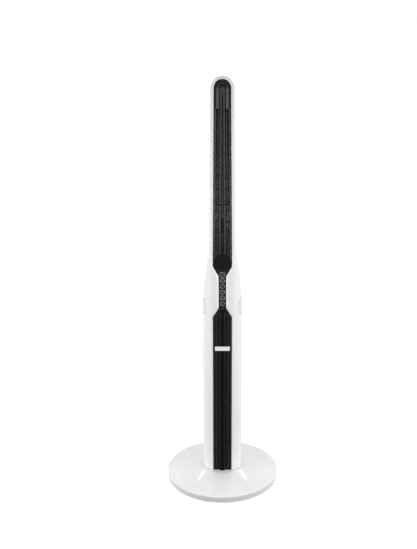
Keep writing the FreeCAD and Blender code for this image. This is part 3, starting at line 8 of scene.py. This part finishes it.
import bpy
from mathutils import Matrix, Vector


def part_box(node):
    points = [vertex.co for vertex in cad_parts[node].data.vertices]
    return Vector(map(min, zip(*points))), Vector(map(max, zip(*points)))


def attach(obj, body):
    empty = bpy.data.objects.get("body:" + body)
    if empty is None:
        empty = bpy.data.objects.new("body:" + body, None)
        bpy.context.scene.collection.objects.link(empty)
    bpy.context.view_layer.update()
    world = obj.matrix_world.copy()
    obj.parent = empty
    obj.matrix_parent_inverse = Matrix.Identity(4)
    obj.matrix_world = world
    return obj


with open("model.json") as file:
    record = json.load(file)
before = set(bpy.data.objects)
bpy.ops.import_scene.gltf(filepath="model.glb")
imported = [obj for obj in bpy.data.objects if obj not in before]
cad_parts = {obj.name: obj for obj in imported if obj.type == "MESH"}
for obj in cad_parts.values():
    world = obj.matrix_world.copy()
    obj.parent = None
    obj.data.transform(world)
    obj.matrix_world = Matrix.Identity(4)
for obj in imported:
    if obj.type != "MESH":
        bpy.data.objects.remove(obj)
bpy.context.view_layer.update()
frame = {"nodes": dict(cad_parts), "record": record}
NODES = frame["nodes"]

# Camera: the photograph's frame and perspective
IMAGE_W = 417             # pixels
IMAGE_H = 549
FOCAL_PX = 759.6
SENSOR = 36.0             # mm
CAMERA_DISTANCE = 1.735
CAMERA_HEIGHT = 1.025
CAMERA_PITCH = math.radians(15.98)
AXIS_PX = 222.4           # image column of the swing axis

# Surroundings
WORLD_LEVEL = 0.36        # light of the room on the object; where it is seen it is white
FLOOR_HALF = 12.0
FLOOR_COLOUR = 0.16
FLOOR_ROUGHNESS = 0.9
FLOOR_GLOW = 0.95         # added where the floor is seen, so that it is white

# Lamps on the right-hand side, each with a twin on the left: place, aim, size, level (a white is 1) and
# whether glossy surfaces mirror it
LAMPS = {
    "side": ((1.00, -0.65, 0.52), (0.0, 0.0, 0.40), (0.50, 0.90), 6.3, True),
    "flank": ((1.15, -0.25, 0.60), (0.0, 0.0, 0.40), (0.50, 0.90), 2.2, True),
    "rear": ((0.80, 1.00, 2.20), (0.0, 0.0, 0.00), (1.00, 1.00), 3.5, False),
    "strip": ((0.46, 1.50, 1.60), (0.0, 0.0, 0.02), (0.02, 0.16), 9.0, True),
}
LEFT_SHARE = 0.965        # the left lamps are a little weaker

# Colours
WHITE = (0.80, 0.80, 0.80)
# The base's white is a little darker than the shell's: painted shade that dims the well-lit top of the base
BASE_WHITE = (0.765, 0.765, 0.765)
STRIP_BLACK = (0.0180, 0.0180, 0.0185)
KEY_BLACK = (0.0024, 0.0024, 0.0026)
GRILLE_BLACK = (0.0220, 0.0220, 0.0225)
PANEL_BLACK = (0.0095, 0.0095, 0.0100)
LENS_BLACK = (0.0055, 0.0055, 0.0060)
MARK_GREY = (0.74, 0.74, 0.75)

# Fades of a colour along an axis of the piece, the same on both sides of its origin: two places, each with
# its share of the colour
FOOT_FADE = ("Z", (0.60, 0.05), (0.66, 1.0))            # the outlet is darkest just above the display
# The fins fade darker towards the top: painted shade
FIN_FADES = (FOOT_FADE, ("Z", (0.64, 1.0), (0.84, 0.32)))
GRILLE_FADES = (
    FOOT_FADE,
    ("Z", (0.62, 1.0), (0.93, 0.5)),                    # painted shade: darker towards the top
    ("X", (0.0008, 3.0), (0.0022, 1.0)),                # painted highlight: paler along the middle rib
)
STRIP_PAINTED_SHADE_AND_HIGHLIGHT = (("X", (0.003, 0.15), (0.012, 1.0)),)     # painted shade and painted highlight: darkest along the middle, paler on the side ribs
RIM_PAINTED_SHADE = (("Z", (0.010, 0.88), (0.014, 1.0)),)       # painted shade: the upright rim is a little darker

# Fine detail that all finishes share
CLOUD_DETAIL = 5.0
GRAIN_DETAIL = 2.0
GRAIN_STRENGTH = 0.5
EDGE_SAMPLES = 6

# Finishes of the record's slots, of a few single nodes and of the key marks
FINISHES = {
    "white_shell": dict(colour=WHITE, roughness=0.42, mottle=0.008, edge=0.0008),
    "white_base": dict(colour=BASE_WHITE, roughness=0.06, mottle=0.008, rough_swing=0.01,
                       edge=0.0008, fades=RIM_PAINTED_SHADE),
    "badge_white": dict(colour=(0.82, 0.82, 0.82), roughness=0.3, mottle=0.01, edge=0.0004),
    "black_trim": dict(colour=STRIP_BLACK, roughness=0.28, mottle=0.15, edge=0.0004, specular=0.06,
                       fades=STRIP_PAINTED_SHADE_AND_HIGHLIGHT),
    "grille_black": dict(colour=GRILLE_BLACK, roughness=0.24, mottle=0.15, edge=0.0004, specular=0.16,
                         fades=GRILLE_FADES),
    "panel_black": dict(colour=PANEL_BLACK, roughness=0.4, mottle=0.15, edge=0.0004, specular=0.16),
    "display_dark": dict(colour=LENS_BLACK, roughness=0.12, mottle=0.1, rough_swing=0.03, specular=0.1),
    "key_black": dict(colour=KEY_BLACK, roughness=0.42, mottle=0.15, edge=0.0003, specular=0.05),
    "filter_mesh": dict(colour=(0.88, 0.88, 0.88), roughness=0.8, mottle=0.08, mottle_scale=900.0),
    "grey_plate": dict(colour=(0.5, 0.5, 0.51), roughness=0.5),
    "iron": dict(colour=(0.1, 0.1, 0.1), roughness=0.6, mottle=0.25, metallic=1.0, grain_depth=0.0001),
    "rubber": dict(colour=(0.02, 0.02, 0.02), roughness=0.75, mottle=0.2, specular=0.3),
    "steel": dict(colour=(0.58, 0.58, 0.58), roughness=0.32, metallic=1.0, stretch=(1.0, 1.0, 12.0)),
    "board_green": dict(colour=(0.03, 0.16, 0.06), roughness=0.35, mottle=0.2, mottle_scale=240.0),
    "components": dict(colour=(0.03, 0.03, 0.035), roughness=0.5, mottle=0.2),
    "inner_plastic": dict(colour=(0.68, 0.68, 0.66), roughness=0.45),
    "heater_black": dict(colour=(0.02, 0.02, 0.02), roughness=0.6, mottle=0.2),
    "ceramic": dict(colour=(0.25, 0.24, 0.22), roughness=0.7, mottle=0.1, mottle_scale=120.0),
    "fin_metal": dict(colour=(0.50, 0.50, 0.50), roughness=0.5, metallic=1.0, stretch=(8.0, 1.0, 1.0),
                      fades=FIN_FADES),
    "mark_grey": dict(colour=MARK_GREY, roughness=0.5, mottle=0.05),
}
OWN_FINISHES = {"base_cover": "white_base", "outlet_grille": "grille_black", "control_panel": "panel_black"}

# Marks on the keys
KEY_FLANGE = 0.0007       # the flange is this much wider than the cap
RING_INSET = 0.0007       # from the edge of the cap to the middle of the ring's line
RING_POINTS = 64
MARK_R = 0.00035          # radius of the ring's line
MARK_SINK = 0.0002        # depth of the middle of that line below the face of the cap
MARK_STEPS = 3            # steps that round the lines
GLYPH_SHARE = 0.9         # of the cap's radius
GLYPH_FLAT = 0.8          # height of the glyphs against their width
STROKE_WEIGHT = 0.5       # of the glyphs, against the rings


def add_node(tree, kind, settings=None, inputs=None):
    """New shader node with its settings and socket values."""
    made = tree.nodes.new(kind)
    for key, value in (settings or {}).items():
        setattr(made, key, value)
    for key, value in (inputs or {}).items():
        made.inputs[key].default_value = value
    return made


def noise(tree, scale, detail, stretch=(1.0, 1.0, 1.0)):
    """Noise over the piece's own coordinates, and the socket that carries it."""
    place = add_node(tree, "ShaderNodeTexCoord")
    mapping = add_node(tree, "ShaderNodeMapping", inputs={"Scale": stretch})
    texture = add_node(tree, "ShaderNodeTexNoise", inputs={"Scale": scale, "Detail": detail})
    tree.links.new(place.outputs["Object"], mapping.inputs["Vector"])
    tree.links.new(mapping.outputs["Vector"], texture.inputs["Vector"])
    return texture.outputs["Fac"]


def shaded(colour, share):
    """A colour made lighter or darker, with its alpha."""
    return tuple(min(c * share, 1.0) for c in colour) + (1.0,)


def faded(tree, colour, fades):
    """A colour socket times the shares of each fade, which run along an axis of the piece."""
    for axis, (start, first), (end, last) in fades:
        place = add_node(tree, "ShaderNodeTexCoord")
        split = add_node(tree, "ShaderNodeSeparateXYZ")
        reach = add_node(tree, "ShaderNodeMath", {"operation": "ABSOLUTE"})
        level = add_node(tree, "ShaderNodeMapRange", inputs={"From Min": start, "From Max": end,
                                                             "To Min": first, "To Max": last})
        scaled = add_node(tree, "ShaderNodeVectorMath", {"operation": "SCALE"})
        tree.links.new(place.outputs["Object"], split.inputs["Vector"])
        tree.links.new(split.outputs[axis], reach.inputs[0])
        tree.links.new(reach.outputs["Value"], level.inputs["Value"])
        tree.links.new(colour, scaled.inputs["Vector"])
        tree.links.new(level.outputs["Result"], scaled.inputs["Scale"])
        colour = scaled.outputs["Vector"]
    return colour


def surface(name, colour, roughness, *, mottle=0.04, mottle_scale=18.0, rough_swing=0.06, grain_scale=1800.0,
            grain_depth=0.00001, stretch=(1.0, 1.0, 1.0), edge=0.0, metallic=0.0, specular=0.5, fades=()):
    """Material with a mottled colour, an uneven sheen, a fine moulded grain and softened edges."""
    material = bpy.data.materials.new(name)
    material.use_nodes = True
    tree = material.node_tree
    shader = tree.nodes["Principled BSDF"]
    shader.inputs["Metallic"].default_value = metallic
    shader.inputs["Specular IOR Level"].default_value = specular
    cloud = noise(tree, mottle_scale, CLOUD_DETAIL, stretch)
    ramp = add_node(tree, "ShaderNodeValToRGB")
    ramp.color_ramp.elements[0].color = shaded(colour, 1.0 - mottle)
    ramp.color_ramp.elements[1].color = shaded(colour, 1.0 + mottle)
    tree.links.new(cloud, ramp.inputs["Fac"])
    tree.links.new(faded(tree, ramp.outputs["Color"], fades), shader.inputs["Base Color"])
    swing = add_node(tree, "ShaderNodeMapRange", inputs={"To Min": roughness - rough_swing,
                                                         "To Max": roughness + rough_swing})
    tree.links.new(cloud, swing.inputs["Value"])
    tree.links.new(swing.outputs["Result"], shader.inputs["Roughness"])
    grain = noise(tree, grain_scale, GRAIN_DETAIL, stretch)
    bump = add_node(tree, "ShaderNodeBump", inputs={"Strength": GRAIN_STRENGTH, "Distance": grain_depth})
    tree.links.new(grain, bump.inputs["Height"])
    if edge:
        bevel = add_node(tree, "ShaderNodeBevel", {"samples": EDGE_SAMPLES}, {"Radius": edge})
        tree.links.new(bevel.outputs["Normal"], bump.inputs["Normal"])
    tree.links.new(bump.outputs["Normal"], shader.inputs["Normal"])
    return material


def make_materials():
    """One material for each finish, by its name."""
    return {name: surface(name, **finish) for name, finish in FINISHES.items()}


def dress_nodes(materials):
    """Each CAD node gets the material of its slot; a few have finishes of their own."""
    for part in frame["record"]["subparts"]:
        node = part["node"]
        mesh = NODES[node].data
        mesh.materials.clear()
        mesh.materials.append(materials[OWN_FINISHES.get(node, part["material_slot"])])


def arc(radius, start, end, count):
    """Points of an arc, angles in degrees from +X towards +Z."""
    steps = [start + (end - start) * i / (count - 1) for i in range(count)]
    return [(radius * math.cos(math.radians(a)), radius * math.sin(math.radians(a))) for a in steps]


def key_glyphs():
    """Strokes of the sign on each key, in shares of the cap's radius, from the top key down."""
    head = [(-0.26, 0.04), (0.0, 0.32), (0.26, 0.04)]
    shaft = [(0.0, 0.32), (0.0, -0.34)]
    up = [head, shaft]
    down = [[(x, -z) for x, z in stroke] for stroke in up]
    right = [(0.2, 0.2), (0.4, 0.0), (0.2, -0.2)]
    level = [[(-0.4, 0.0), (0.4, 0.0)], right, [(-x, z) for x, z in right]]
    turn = [arc(0.34, -60, 210, 20), [(-0.5, -0.02), (-0.29, -0.17), (-0.1, 0.02)]]
    double = [[(-0.3, 0.02), (0.0, 0.3), (0.3, 0.02)], [(-0.3, -0.3), (0.0, -0.02), (0.3, -0.3)]]
    power = [arc(0.36, 130, 410, 24), [(0.0, 0.05), (0.0, 0.46)]]
    return {"power_key": power, "control_key_1": up, "control_key_2": down, "control_key_3": level,
            "control_key_4": turn, "control_key_5": double}


def add_stroke(curve, points, weight, closed=False):
    """Round line through points as one spline of a curve."""
    spline = curve.splines.new("POLY")
    spline.points.add(len(points) - 1)
    spline.use_cyclic_u = closed
    for point, place in zip(spline.points, points):
        point.co = (*place, 1.0)
        point.radius = weight


def make_key_marks(materials):
    """Pale ring and sign, raised a little on the cap of each key and moving with it."""
    for name, strokes in key_glyphs().items():
        low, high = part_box(name)
        middle = (low[2] + high[2]) / 2
        cap = (high[0] - low[0]) / 2 - KEY_FLANGE
        glyph = cap * GLYPH_SHARE
        ring_depth = low[1] + MARK_SINK
        glyph_depth = low[1] + MARK_SINK * STROKE_WEIGHT
        curve = bpy.data.curves.new(f"{name}_marks", "CURVE")
        curve.dimensions = "3D"
        curve.bevel_depth = MARK_R
        curve.bevel_resolution = MARK_STEPS
        curve.use_fill_caps = True
        ring = arc(cap - RING_INSET, 0, 360, RING_POINTS + 1)[:-1]
        add_stroke(curve, [(x, ring_depth, middle + z) for x, z in ring], 1.0, closed=True)
        for stroke in strokes:
            places = [(x * glyph, glyph_depth, middle + z * glyph * GLYPH_FLAT) for x, z in stroke]
            add_stroke(curve, places, STROKE_WEIGHT)
        curve.materials.append(materials["mark_grey"])
        marks = bpy.data.objects.new(curve.name, curve)
        bpy.context.collection.objects.link(marks)
        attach(marks, f"{name}_body")


def seen_directly(tree):
    """Socket that is 1 where the camera, a mirror image or clear glass shows the surface."""
    path = add_node(tree, "ShaderNodeLightPath")
    kinds = ("Is Camera Ray", "Is Glossy Ray", "Is Transmission Ray")
    value = path.outputs[kinds[0]]
    for kind in kinds[1:]:
        most = add_node(tree, "ShaderNodeMath", {"operation": "MAXIMUM"})
        tree.links.new(value, most.inputs[0])
        tree.links.new(path.outputs[kind], most.inputs[1])
        value = most.outputs["Value"]
    return value


def make_floor():
    """Wide floor that is white where it is seen and keeps the object's shadow."""
    mesh = bpy.data.meshes.new("floor")
    half = FLOOR_HALF
    corners = [(-half, -half, 0), (half, -half, 0), (half, half, 0), (-half, half, 0)]
    mesh.from_pydata(corners, [], [(0, 1, 2, 3)])
    floor = bpy.data.objects.new("floor", mesh)
    bpy.context.collection.objects.link(floor)
    material = bpy.data.materials.new("floor_white")
    material.use_nodes = True
    tree = material.node_tree
    shader = tree.nodes["Principled BSDF"]
    shader.inputs["Base Color"].default_value = (FLOOR_COLOUR, FLOOR_COLOUR, FLOOR_COLOUR, 1.0)
    shader.inputs["Roughness"].default_value = FLOOR_ROUGHNESS
    shader.inputs["Specular IOR Level"].default_value = 0.0
    shader.inputs["Emission Color"].default_value = (1.0, 1.0, 1.0, 1.0)
    glow = add_node(tree, "ShaderNodeMapRange", inputs={"To Min": 0.0, "To Max": FLOOR_GLOW})
    tree.links.new(seen_directly(tree), glow.inputs["Value"])
    tree.links.new(glow.outputs["Result"], shader.inputs["Emission Strength"])
    mesh.materials.append(material)


def make_world():
    """Even room that is white where it is seen."""
    world = bpy.data.worlds.new("studio")
    world.use_nodes = True
    tree = world.node_tree
    ground = tree.nodes["Background"]
    ground.inputs["Color"].default_value = (1.0, 1.0, 1.0, 1.0)
    level = add_node(tree, "ShaderNodeMapRange", inputs={"To Min": WORLD_LEVEL, "To Max": 1.0})
    tree.links.new(seen_directly(tree), level.inputs["Value"])
    tree.links.new(level.outputs["Result"], ground.inputs["Strength"])
    bpy.context.scene.world = world


def add_lamp(name, place, aim, size, level, mirrored):
    """Rectangular soft lamp aimed at a point; level is its brightness against a white of 1."""
    lamp = bpy.data.lights.new(name, "AREA")
    lamp.shape = "RECTANGLE"
    lamp.size, lamp.size_y = size
    lamp.energy = level * math.pi * size[0] * size[1]
    holder = bpy.data.objects.new(name, lamp)
    holder.visible_glossy = mirrored
    holder.location = place
    holder.rotation_euler = (Vector(aim) - Vector(place)).to_track_quat("-Z", "Y").to_euler()
    bpy.context.collection.objects.link(holder)


def make_lamps():
    """Pairs of lamps: large ones at both sides, wide ones above the rear and narrow ones behind."""
    for name, (place, aim, size, level, mirrored) in LAMPS.items():
        add_lamp(f"{name}_right", place, aim, size, level, mirrored)
        twin = (-place[0], place[1], place[2])
        add_lamp(f"{name}_left", twin, aim, size, level * LEFT_SHARE, mirrored)


def make_camera():
    """Camera at the photograph's height, pitch and focal length."""
    data = bpy.data.cameras.new("camera")
    data.sensor_width = SENSOR
    data.lens = FOCAL_PX * SENSOR / IMAGE_H
    data.shift_x = (IMAGE_W / 2 - AXIS_PX) / IMAGE_H
    camera = bpy.data.objects.new("camera", data)
    camera.location = (0.0, -CAMERA_DISTANCE, CAMERA_HEIGHT)
    camera.rotation_euler = (math.pi / 2 - CAMERA_PITCH, 0.0, 0.0)
    bpy.context.collection.objects.link(camera)
    bpy.context.scene.camera = camera


bpy.context.scene.view_settings.view_transform = "Standard"
materials = make_materials()
dress_nodes(materials)
make_key_marks(materials)
make_floor()
make_world()
make_lamps()
make_camera()
